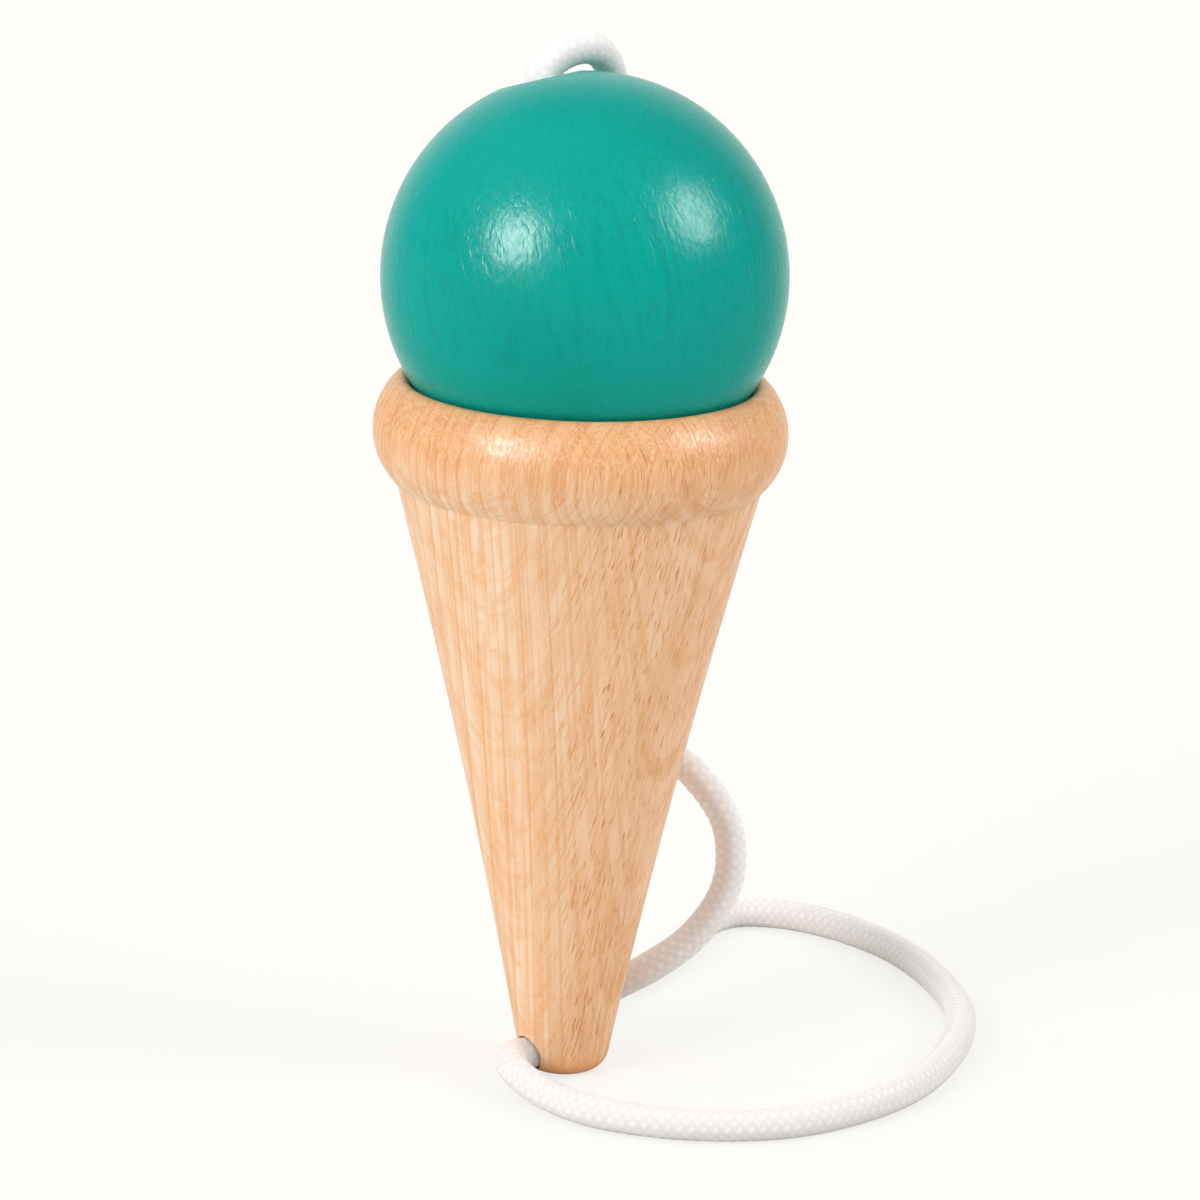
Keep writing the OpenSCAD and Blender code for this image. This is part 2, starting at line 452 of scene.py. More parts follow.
@dataclass(frozen=True)
class PaintFinish:
    """Teal satin paint, thin enough that the grain of the turned ball shows in its relief."""

    centre: Point
    turn: Point
    name: str = "teal_paint"
    teal: Colour = (0.001, 0.32, 0.262)
    deep: Colour = (0.002, 0.24, 0.19)
    fresh: Colour = (0.002, 0.355, 0.30)

    # Noises of the paint, and the reach of the end grain from the ball's middle.
    cloud: Mottle = Mottle((40.0, 40.0, 22.0), 1.0, 0.35, 0.65)
    streak: Mottle = Mottle((800.0, 800.0, 14.0), 2.0, 0.48, 0.68, 0.3)
    pores: Mottle = Mottle((1500.0, 1500.0, 210.0), 1.0, 0.62, 0.72, 0.12)
    peel: Mottle = Mottle((1700.0, 1700.0, 1000.0), 2.0, 0.38, 0.62, 0.1)
    strokes: Mottle = Mottle((1700.0, 1300.0, 120.0), 0.0, 0.3, 0.7, 0.06)
    stroke_turn: Point = (0.6, 0.5, 0.9)
    end_grain: Span = (0.008, 0.022)

    # Satin, and the depth of the relief with each pattern's share of it.
    roughness: float = 0.2
    specular: float = 0.115
    relief: float = 0.0001
    peel_relief: float = 0.44
    streak_relief: float = 0.3
    pore_relief: float = 0.25
    pore_hollow: Span = (0.56, 0.72)

    def material(self) -> bpy.types.Material:
        """Writes the material.

        The grain follows the bore, which is the third axis of the ball's frame. Streaks and pores colour only
        the belt of side grain, not the end grain round the two mouths of the bore.

        Returns:
            The paint material.
        """
        material, graph = new_material(self.name)
        ball = graph.place(self.turn, self.centre)
        cloud, streak, pores, peel = (
            graph.noise(ball, mottle) for mottle in (self.cloud, self.streak, self.pores, self.peel)
        )
        strokes = graph.noise(graph.place(self.stroke_turn, self.centre), self.strokes)
        _, _, along = graph.axes(ball)
        side_grain = 1 - abs(along).rise(*self.end_grain)
        colour = graph.mix(self.cloud.mask(cloud), self.teal, self.fresh)
        colour = graph.mix(self.streak.mask(streak) * side_grain, colour, self.deep)
        colour = graph.mix(self.pores.mask(pores) * side_grain, colour, self.deep)
        hollow = pores.rise(*self.pore_hollow) * self.pore_relief
        raised = peel * self.peel_relief + streak * self.streak_relief - hollow + self.strokes.mask(strokes)
        graph.finish({
            "Base Color": colour,
            "Roughness": self.roughness + self.peel.mask(peel),
            "Specular IOR Level": self.specular,
            "Normal": graph.bump(raised, self.relief),
        })
        return material


@dataclass(frozen=True)
class BraidFinish:
    """White yarn of a round braid.

    Stitches of one set of strands stand out, and those of the other set lie lower. The crowns are painted
    bright and the gaps between them darker, as painted shade. The cord is painted lighter where it rises off
    the floor, as painted light, and darker where it lies on it, as painted shade.
    """

    braid: "Braid"
    name: str = "white_braid"
    # The bright stitch colour on the crowns against the darker yarn in the gaps is painted shade between the
    # stitches.
    stitch: Colour = (0.955, 0.932, 0.925)
    yarn: Colour = (0.875, 0.836, 0.827)
    # These two colours paint the cord lighter off the floor and darker on it: painted light and painted
    # shade.
    raised_painted_light: Colour = (0.965, 0.968, 0.97)
    lying_painted_shade: Colour = (0.89, 0.89, 0.892)
    uv_map: str = "braid"
    filaments: float = 5.0
    low_set: float = 0.7
    # Crown heights over which the painted shade of the gaps gives way to the bright stitch.
    gap_painted_shade: Span = (0.25, 0.95)
    # Heights over which the cord's painted shade on the floor gives way to painted light.
    lying: Span = (0.005, 0.018)
    wear: Mottle = Mottle((900.0, 900.0, 900.0), 1.0, 0.45, 0.8, 0.2)

    # Soft yarn, and the depth of the relief with each pattern's share of it.
    roughness: float = 0.8
    crown_polish: float = 0.15
    specular: float = 0.25
    softness: float = 0.6
    soft_depth: float = 0.0012
    sheen: float = 0.15
    sheen_roughness: float = 0.5
    relief: float = 0.00002
    crown_relief: float = 0.8
    filament_relief: float = 0.08
    wear_relief: float = 0.2

    def stitches(self, graph: Graph) -> tuple[Value, Value]:
        """Draws the stitches on the braid's own UV map.

        Two sets of strands run up to the right and up to the left. In a square of the lattice one set is on
        top if the square's two numbers add up to an even number, and the other set if not. The crown is the
        same hump as on the mesh, lower on the second set, and filaments are a cosine across the strand.

        Args:
            graph: Nodes of the material.

        Returns:
            Height of the crowns, and of the filaments.
        """
        flat = graph.node("ShaderNodeUVMap", {"uv_map": self.uv_map}, {}).outputs["UV"]
        around, along, _ = graph.axes(flat)
        right = around * float(self.braid.strands) + along
        left = around * float(self.braid.strands) - along
        odd = ((right.whole() + left.whole()) / 2.0).fraction() * 2.0
        right_part = right.fraction() - 0.5
        left_part = left.fraction() - 0.5
        across = right_part + (left_part - right_part) * odd
        lengthwise = left_part + (right_part - left_part) * odd
        end = self.braid.stitch_end
        crown = (across * math.pi).cosine() * ((lengthwise * math.pi).cosine() * (1 - end) + end)
        filament = (across * (2 * math.pi * self.filaments)).cosine()
        return crown * (1 - odd * (1 - self.low_set)), filament

    def material(self) -> bpy.types.Material:
        """Writes the material.

        Returns:
            The braid material.
        """
        material, graph = new_material(self.name)
        crown, filament = self.stitches(graph)
        own = graph.place()
        wear = graph.noise(own, self.wear)
        _, _, height = graph.axes(own)
        # The gaps between the crowns are painted darker: painted shade.
        colour = graph.mix(crown.rise(*self.gap_painted_shade), self.yarn, self.stitch)
        colour = graph.mix(self.wear.mask(wear), colour, self.yarn)
        # The cord is painted lighter the higher it rises: painted light above the floor, painted shade where
        # it lies on it.
        height_painted_light = graph.mix(height.rise(*self.lying), self.lying_painted_shade, self.raised_painted_light)
        raised = crown * self.crown_relief + filament * self.filament_relief + wear * self.wear_relief
        graph.finish({
            "Base Color": graph.vector("MULTIPLY", colour, height_painted_light).outputs["Vector"],
            "Roughness": self.roughness - crown * self.crown_polish,
            "Specular IOR Level": self.specular,
            "Subsurface Weight": self.softness,
            "Subsurface Radius": (1.0, 1.0, 1.0),
            "Subsurface Scale": self.soft_depth,
            "Sheen Weight": self.sheen,
            "Sheen Roughness": self.sheen_roughness,
            "Normal": graph.bump(raised, self.relief),
        })
        return material


def grid_faces(rows: int, columns: int, ring: bool) -> np.ndarray:
    """Faces of a grid of points whose columns close into a ring.

    Args:
        rows: Rows of points.
        columns: Points in a row, of which the last joins the first.
        ring: Whether the last row joins the first row too.

    Returns:
        Four point numbers for each face.
    """
    row = np.arange(rows if ring else rows - 1)[:, None]
    column = np.arange(columns)[None, :]
    next_row = (row + 1) % rows
    next_column = (column + 1) % columns
    corners = (
        row * columns + column,
        row * columns + next_column,
        next_row * columns + next_column,
        next_row * columns + column,
    )
    return np.stack(corners, axis=-1).reshape(-1, 4)


def closed_faces(rows: int, columns: int) -> list[list[int]]:
    """Faces of such a grid with a fan over its first row and one over its last row.

    Args:
        rows: Rows of points.
        columns: Points in a row.

    Returns:
        Point numbers of each face. The middles of the two fans are the two points after the grid's own.
    """
    step = np.arange(columns)
    after = (step + 1) % columns
    last = (rows - 1) * columns
    first_fan = np.stack([np.full(columns, rows * columns), after, step], axis=1)
    last_fan = np.stack([np.full(columns, rows * columns + 1), last + step, last + after], axis=1)
    return [*grid_faces(rows, columns, False).tolist(), *first_fan.tolist(), *last_fan.tolist()]


def new_piece(name: str, points: np.ndarray, faces: list[list[int]]) -> bpy.types.Object:
    """Makes a smooth mesh object.

    Args:
        name: Name of the piece.
        points: Its points, one in a row.
        faces: Point numbers of its faces, turned outwards.

    Returns:
        The object, which sits at the origin.
    """
    mesh = bpy.data.meshes.new(name)
    mesh.from_pydata(points.tolist(), [], faces)
    mesh.shade_smooth()
    piece = bpy.data.objects.new(name, mesh)
    bpy.context.scene.collection.objects.link(piece)
    return piece


def arc(centre: Span, radius: float, start: float, stop: float, count: int) -> np.ndarray:
    """Points of a round stretch of an outline: the centre plus the radius times cosine and sine.

    Args:
        centre: Its middle, as distance from the axis and height.
        radius: Its radius.
        start: First angle above level, in radians.
        stop: Last angle.
        count: Number of points.

    Returns:
        Points of the outline, one in a row.
    """
    angle = np.linspace(start, stop, count)
    return np.stack([centre[0] + radius * np.cos(angle), centre[1] + radius * np.sin(angle)], axis=1)


def spokes(axis: Vector, angle: np.ndarray) -> np.ndarray:
    """Directions square to an axis: the angle's cosine along one side of it plus its sine along the other.

    Args:
        axis: Direction of length 1.
        angle: Angles round it. They start from X where the axis is upright.

    Returns:
        One direction for each angle.
    """
    upright = abs(axis.z) == 1.0
    side = Vector((1.0, 0.0, 0.0)) if upright else axis.orthogonal().normalized()
    other = axis.cross(side)
    return np.cos(angle)[:, None] * np.array(side) + np.sin(angle)[:, None] * np.array(other)


def turned(outline: np.ndarray, sides: int, origin: Vector, axis: Vector) -> np.ndarray:
    """Turns an outline round an axis.

    A point is the origin, plus its height along the axis, plus its distance from the axis in the direction
    that the angle gives in the plane square to the axis.

    Args:
        outline: Distance from the axis and height of each point.
        sides: Points round the axis.
        origin: Point of the axis at height 0.
        axis: Direction of the axis, of length 1.

    Returns:
        Rings of points, of the shape outline, sides, 3.
    """
    spoke = spokes(axis, np.linspace(0.0, 2 * math.pi, sides, endpoint=False))
    distance = outline[:, 0][:, None, None]
    height = outline[:, 1][:, None, None]
    return np.array(origin) + distance * spoke + height * np.array(axis)


@dataclass
class CupCone:
    """The turned cone: foot, hollow wall, rim bead, lip and cup, with the cord's blind hole in the foot."""

    neck_h: float = 0.091
    neck_d: float = 0.0541
    foot_d: float = 0.0125
    foot_edge_r: float = 0.0035
    wall_hollow: float = 0.00084
    bead_d: float = 0.0613
    bead_r: float = 0.0103
    lip_r: float = 0.0014
    lip_angle: float = math.radians(45)
    neck_fillet: float = 0.0006
    hole_d: float = 0.0054
    hole_h: float = 0.0033
    hole_turn: float = math.radians(217)
    hole_past: float = 0.0035

    # Points round the axis, and along each stretch of the outline.
    sides: int = 240
    hole_sides: int = 64
    flat_points: int = 6
    edge_points: int = 16
    wall_points: int = 92
    fillet_points: int = 9
    bead_points: int = 56
    lip_points: int = 20
    cup_points: int = 60

    @property
    def bead_mid(self) -> np.ndarray:
        """Middle of the bead's round section, which passes through the neck."""
        distance = self.bead_d / 2 - self.bead_r
        rise = math.sqrt(self.bead_r**2 - (self.neck_d / 2 - distance) ** 2)
        return np.array([distance, self.neck_h + rise])

    @property
    def lip_mid(self) -> np.ndarray:
        """Middle of the lip's round section, inside the bead's."""
        reach = self.bead_r - self.lip_r
        return self.bead_mid + reach * np.array([math.cos(self.lip_angle), math.sin(self.lip_angle)])

    @property
    def hole_axis(self) -> np.ndarray:
        """Direction in which the foot hole opens."""
        return np.array([math.cos(self.hole_turn), math.sin(self.hole_turn), 0.0])

    def wall_radius(self, height: Union[float, np.ndarray]) -> Union[float, np.ndarray]:
        """Radius of the wall: a straight taper less a shallow parabola that is deepest at half height.

        Args:
            height: One height above the floor, or several.

        Returns:
            The radius at each height.
        """
        share = height / self.neck_h
        taper = (self.foot_d + (self.neck_d - self.foot_d) * share) / 2
        return taper - 4 * self.wall_hollow * share * (1 - share)

    def wall_slope(self, height: float) -> float:
        """Gain of the wall's radius with height."""
        share = height / self.neck_h
        return ((self.neck_d - self.foot_d) / 2 - 4 * self.wall_hollow * (1 - 2 * share)) / self.neck_h

    def foot_outline(self) -> np.ndarray:
        """Flat of the foot and its rounded edge, which touches the floor and the wall.

        Returns:
            Points from the axis to the wall.
        """
        slope = self.wall_slope(0.0)
        flat = self.foot_d / 2 + self.foot_edge_r * (slope - math.hypot(1, slope))
        under = np.linspace((0.0, 0.0), (flat, 0.0), self.flat_points)
        middle = (flat, self.foot_edge_r)
        edge = arc(middle, self.foot_edge_r, -math.pi / 2, -math.atan(slope), self.edge_points)
        return np.concatenate([under[:-1], edge])

    def neck_outline(self) -> tuple[np.ndarray, float]:
        """Small hollow rounding between wall and bead.

        Its middle is one fillet radius off the wall's tangent and one fillet radius off the bead, which gives
        a quadratic equation for how far below the neck it touches the wall.

        Returns:
            Points of the rounding, and the angle at which the bead takes over.
        """
        slope = self.wall_slope(self.neck_h)
        up = np.array([slope, 1.0]) / math.hypot(1, slope)
        out = np.array([up[1], -up[0]])
        corner = np.array([self.neck_d / 2, self.neck_h]) - self.bead_mid
        half = corner @ up
        room = 2 * self.neck_fillet * (self.bead_r - corner @ out)
        drop = half + math.sqrt(half**2 + room)
        middle = self.bead_mid + corner + self.neck_fillet * out - drop * up
        to_bead = self.bead_mid - middle
        start = math.atan2(-out[1], -out[0])
        stop = math.atan2(to_bead[1], to_bead[0])
        bead_start = math.atan2(-to_bead[1], -to_bead[0])
        return arc(tuple(middle), self.neck_fillet, start, stop, self.fillet_points), bead_start

    def outline(self) -> np.ndarray:
        """Whole outline from the middle of the foot to the middle of the cup.

        Returns:
            Distance from the axis and height of each point.
        """
        foot = self.foot_outline()
        neck, bead_start = self.neck_outline()
        height = np.linspace(foot[-1, 1], neck[0, 1], self.wall_points)[1:-1]
        wall = np.stack([self.wall_radius(height), height], axis=1)
        bead = arc(tuple(self.bead_mid), self.bead_r, bead_start, self.lip_angle, self.bead_points)
        lip = arc(tuple(self.lip_mid), self.lip_r, self.lip_angle, math.pi, self.lip_points)
        cup_r = self.lip_mid[0] - self.lip_r
        cup = arc((0.0, self.lip_mid[1]), cup_r, 0.0, -math.pi / 2, self.cup_points)
        return np.concatenate([foot, wall, neck, bead[1:], lip[1:], cup[1:]])

    def hole_tool(self) -> bpy.types.Object:
        """Makes the drill of the foot hole: a closed cylinder along the hole's axis.

        Returns:
            The drill as an object.
        """
        radius = self.hole_d / 2
        outline = np.array([[radius, -self.hole_past], [radius, self.neck_d / 2]])
        rings = turned(outline, self.hole_sides, Vector((0.0, 0.0, self.hole_h)), Vector(self.hole_axis))
        skin = grid_faces(len(outline), self.hole_sides, False).tolist()
        first = list(range(self.hole_sides))
        last = [self.hole_sides + i for i in first]
        return new_piece("foot_drill", rings.reshape(-1, 3), [*skin, first[::-1], last])

    def build(self) -> bpy.types.Object:
        """Turns the outline, closes both poles and drills the hole.

        Returns:
            The cone as an object.
        """
        outline = self.outline()
        rings = turned(outline[1:-1], self.sides, Vector(ORIGIN), Vector((0.0, 0.0, 1.0)))
        poles = np.array([[0.0, 0.0, outline[0, 1]], [0.0, 0.0, outline[-1, 1]]])
        points = np.concatenate([rings.reshape(-1, 3), poles])
        cone = new_piece("turned_cone", points, closed_faces(len(rings), self.sides))
        self.drill(cone)
        return cone

    def drill(self, cone: bpy.types.Object) -> None:
        """Cuts the foot hole into the cone's mesh.

        Args:
            cone: The cone, whose mesh is replaced.
        """
        tool = self.hole_tool()
        cut = cone.modifiers.new("foot_hole", "BOOLEAN")
        cut.operation = "DIFFERENCE"
        cut.solver = "EXACT"
        cut.object = tool
        ready = cone.evaluated_get(bpy.context.evaluated_depsgraph_get())
        mesh = bpy.data.meshes.new_from_object(ready)
        cone.modifiers.clear()
        cone.data = mesh
        mesh.set_sharp_from_angle(angle=SHARP_EDGE)
        bpy.data.objects.remove(tool)

    def dress(self, cone: bpy.types.Object, beech: bpy.types.Material) -> None:
        """Lacquers the cone and sets it in place of its solid.

        Args:
            cone: The drilled cone.
            beech: Its lacquered wood.
        """
        cone.data.materials.clear()
        cone.data.materials.append(beech)
        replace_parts(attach(cone, Body.CONE.value), "cup_cone")


@dataclass
class Ball:
    """The painted ball with its bore, a countersunk mouth on top and the knot's recess below."""

    cone: CupCone
    diameter: float = 0.060
    seat_gap: float = 0.0002
    bore_d: float = 0.0054
    bore_tilt: float = math.radians(18)
    bore_turn: float = math.radians(143)
    mouth_d: float = 0.0112
    mouth_depth: float = 0.004
    recess_d: float = 0.012
    recess_depth: float = 0.014
    edge_soft: float = 0.0005

    # Points round the bore, and along each stretch of the outline.
    sides: int = 240
    skin_points: int = 200
    soft_points: int = 8
    sink_points: int = 8
    recess_points: int = 12
    seat_points: int = 5
    bore_points: int = 24

    @property
    def middle(self) -> Vector:
        """Middle of the ball, which rests on the lip of the cone."""
        reach = self.diameter / 2 + self.cone.lip_r + self.seat_gap
        distance, height = self.cone.lip_mid
        return Vector((0.0, 0.0, height + math.sqrt(reach**2 - distance**2)))

    @property
    def turn(self) -> Point:
        """Turns about X, Y and Z that lay the third axis along the bore."""
        return (0.0, self.bore_tilt, self.bore_turn)

    @property
    def axis(self) -> Vector:
        """Direction of the bore, upwards."""
        flat, up = math.sin(self.bore_tilt), math.cos(self.bore_tilt)
        return Vector((flat * math.cos(self.bore_turn), flat * math.sin(self.bore_turn), up))

    def soft_edge(self, corner: np.ndarray, before: np.ndarray, after: np.ndarray) -> np.ndarray:
        """Softened corner of the outline: a parabola between the flanks, with the corner as its pole.

        Args:
            corner: The sharp corner.
            before: A point on the flank that leads to it.
            after: A point on the flank that leads away.

        Returns:
            Points of the softened corner.
        """
        flanks = [before - corner, after - corner]
        start, stop = (corner + self.edge_soft * f / np.linalg.norm(f) for f in flanks)
        share = np.linspace(0.0, 1.0, self.soft_points)[:, None]
        return (1 - share) ** 2 * start + 2 * share * (1 - share) * corner + share**2 * stop

    def outline(self) -> tuple[np.ndarray, int]:
        """Closed outline: painted skin from the mouth down, then recess, seat, bore and countersink up again.

        Returns:
            Distance from the bore's axis and height of each point, and how many of them are skin.
        """
        radius = self.diameter / 2
        mouth_r, recess_r, bore_r = self.mouth_d / 2, self.recess_d / 2, self.bore_d / 2
        mouth = np.array([mouth_r, math.sqrt(radius**2 - mouth_r**2)])
        recess = np.array([recess_r, -math.sqrt(radius**2 - recess_r**2)])
        sink = np.array([bore_r, mouth[1] - self.mouth_depth])
        seat = np.array([recess_r, self.recess_depth - radius])
        bore = np.array([bore_r, seat[1]])
        soft = self.edge_soft / radius
        first, last = math.atan2(mouth[1], mouth[0]), math.atan2(recess[1], recess[0])
        skin = arc((0.0, 0.0), radius, first - soft, last + soft, self.skin_points)
        mouth_edge = self.soft_edge(mouth, sink, skin[0])
        recess_edge = self.soft_edge(recess, skin[-1], seat)
        countersink = np.linspace(sink, mouth_edge[0], self.sink_points)
        inner = [
            np.linspace(recess_edge[-1], seat, self.recess_points)[1:],
            np.linspace(seat, bore, self.seat_points)[1:],
            np.linspace(bore, sink, self.bore_points)[1:],
        ]
        painted = np.concatenate([countersink[1:], mouth_edge[1:], skin[1:], recess_edge[1:]])
        return np.concatenate([painted, *inner]), len(painted)

    def build(self) -> bpy.types.Object:
        """Turns the closed outline round the bore.

        Returns:
            The ball as an object.
        """
        outline, _ = self.outline()
        rings = turned(outline, self.sides, self.middle, self.axis)
        faces = grid_faces(len(outline), self.sides, True)[:, ::-1]
        ball = new_piece("painted_ball", rings.reshape(-1, 3), faces.tolist())
        ball.data.set_sharp_from_angle(angle=SHARP_EDGE)
        return ball

    def dress(self, ball: bpy.types.Object, paint: bpy.types.Material, beech: bpy.types.Material) -> None:
        """Paints the ball, leaves its bore bare and sets it in place of its solid.

        Args:
            ball: The turned ball, whose faces run round the bore in rings.
            paint: Paint of its skin.
            beech: Bare wood inside.
        """
        ball.data.materials.append(paint)
        ball.data.materials.append(beech)
        _, painted = self.outline()
        bare = np.arange(len(ball.data.polygons)) // self.sides >= painted - 1
        ball.data.polygons.foreach_set("material_index", bare.astype(np.int32))
        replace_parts(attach(ball, Body.BALL.value), "ball")


def unit(vectors: np.ndarray) -> np.ndarray:
    """Vectors of the same directions with length 1."""
    return vectors / np.linalg.norm(vectors, axis=-1, keepdims=True)


def smooth_line(points: np.ndarray, steps: int) -> np.ndarray:
    """Smooth curve through all points of a route.

    Between two points it is a pyramid of straight mixes of four neighbours, whose places on the scale lie the
    square root of their distance apart. The end points are mirrored to give the end spans a neighbour.

    Args:
        points: The route's points, one in a row.
        steps: Steps of the curve between two points.

    Returns:
        Points of the curve, one in a row.
    """
    spaced = np.concatenate([2 * points[:1] - points[1:2], points, 2 * points[-1:] - points[-2:-1]])
    a, b, c, d = (spaced[i : len(spaced) - 3 + i, None, :] for i in range(4))
    share = np.arange(steps)[None, :, None] / steps
    gaps = [np.sqrt(np.linalg.norm(q - p, axis=-1, keepdims=True)) for p, q in ((a, b), (b, c), (c, d))]
    to_b, to_c, to_d = np.cumsum(gaps, axis=0)
    at = to_b + (to_c - to_b) * share
    ab = a + (b - a) * at / to_b
    bc = b + (c - b) * share
    cd = c + (d - c) * (at - to_c) / (to_d - to_c)
    abc = ab + (bc - ab) * at / to_c
    bcd = bc + (cd - bc) * (at - to_b) / (to_d - to_b)
    curve = abc + (bcd - abc) * share
    return np.concatenate([curve.reshape(-1, 3), points[-1:]])


def lengths(line: np.ndarray) -> np.ndarray:
    """Length of a line from its start to each of its points."""
    return np.concatenate([[0.0], np.cumsum(np.linalg.norm(np.diff(line, axis=0), axis=1))])


def even_line(line: np.ndarray, spacing: float) -> np.ndarray:
    """Points at even distances along a line.

    Args:
        line: Points of the line, close together.
        spacing: Wanted distance between two points, which is adjusted to fit the length.

    Returns:
        Points of the same line, one in a row.
    """
    gone = lengths(line)
    stops = np.linspace(0.0, gone[-1], round(gone[-1] / spacing) + 1)
    return np.stack([np.interp(stops, gone, line[:, i]) for i in range(3)], axis=1)


def carried_frames(line: np.ndarray) -> tuple[np.ndarray, np.ndarray]:
    """Two directions square to a line at each of its points, carried along without twisting.

    The first guess turns the upright frame onto the heading by the shortest turn. Its twist is the change of
    one direction along the other, and the running sum of that twist is turned back out.

    Args:
        line: Points at even distances.

    Returns:
        The two directions at each point.
    """
    way = unit(np.gradient(line, axis=0))
    x, y, z = way.T
    lean = 1.0 / (1.0 + z)
    side = np.stack([1 - x * x * lean, -x * y * lean, -x], axis=1)
    other = np.stack([-x * y * lean, 1 - y * y * lean, -y], axis=1)
    twist = -np.cumsum(np.sum(np.gradient(side, axis=0) * other, axis=1))[:, None]
    return np.cos(twist) * side + np.sin(twist) * other, np.cos(twist) * other - np.sin(twist) * side


@dataclass
class Braid:
    """A round braid of two sets of strands that cross over and under each other."""

    strands: int = 7
    pitch: float = 0.00165
    relief: float = 0.00008
    stitch_end: float = 0.4
    stitch_mean: float = 0.75
    sides: int = 42
    rings_per_pitch: int = 7

    @property
    def spacing(self) -> float:
        """Distance between two rings of points along the cord."""
        return self.pitch / self.rings_per_pitch

    def crown(self, around: np.ndarray, along: np.ndarray) -> np.ndarray:
        """Height of the stitches, from 0 in the gaps to 1 on the crowns.

        In a square of the lattice the strand on top is a cosine hump across itself, times a lower hump along
        itself. The strands that rise to the right are on top where the square's two numbers have an even sum.

        Args:
            around: Share of a turn round the cord.
            along: Stitches along the cord.

        Returns:
            The heights.
        """
        right = self.strands * around + along
        left = self.strands * around - along
        odd = (np.floor(right) + np.floor(left)) % 2 == 1
        right_part, left_part = right % 1 - 0.5, left % 1 - 0.5
        across = np.where(odd, left_part, right_part)
        lengthwise = np.where(odd, right_part, left_part)
        hump = self.stitch_end + (1 - self.stitch_end) * np.cos(math.pi * lengthwise)
        return np.cos(math.pi * across) * hump

    def tube(self, name: str, line: np.ndarray, radius: float) -> bpy.types.Object:
        """Carries the braid's round section along a line.

        A point is the line's point plus the radius, with the stitches' relief on it, in the direction that
        the angle gives between the two carried directions. Both ends are closed by a fan.

        Args:
            name: Name of the piece.
            line: Points at even distances.
            radius: Radius of the cord.

        Returns:
            The braid as an object with a UV map of turns round it and stitches along it.
        """
        side, other = carried_frames(line)
        count = len(line)
        gone = np.linalg.norm(line[1] - line[0]) * np.arange(count) / self.pitch
        around = np.arange(self.sides) / self.sides
        stitch = self.crown(around[None, :], gone[:, None])
        reach = radius + self.relief * (stitch - self.stitch_mean)
        angle = 2 * math.pi * around[None, :, None]
        spoke = np.cos(angle) * side[:, None, :] + np.sin(angle) * other[:, None, :]
        rings = line[:, None, :] + reach[:, :, None] * spoke
        points = np.concatenate([rings.reshape(-1, 3), line[:1], line[-1:]])
        braid = new_piece(name, points, closed_faces(count, self.sides))
        self.unwrap(braid, gone)
        return braid

    def unwrap(self, braid: bpy.types.Object, gone: np.ndarray) -> None:
        """Gives a braid its UV map: turns round the cord across, stitches along it upwards.

        Args:
            braid: The braid, whose faces run along the rings and end with the two fans.
            gone: Stitches from the start to each ring.
        """
        column = np.arange(self.sides)[None, :]
        left = np.broadcast_to(column / self.sides, (len(gone) - 1, self.sides))
        right = left + 1.0 / self.sides
        low = np.broadcast_to(gone[:-1, None], left.shape)
        high = np.broadcast_to(gone[1:, None], left.shape)
        skin = np.stack([left, low, right, low, right, high, left, high], axis=-1).ravel()
        fans = np.zeros(2 * self.sides * 3 * 2)
        layer = braid.data.uv_layers.new(name=BraidFinish.uv_map)
        layer.data.foreach_set("uv", np.concatenate([skin, fans]).astype(np.float32))


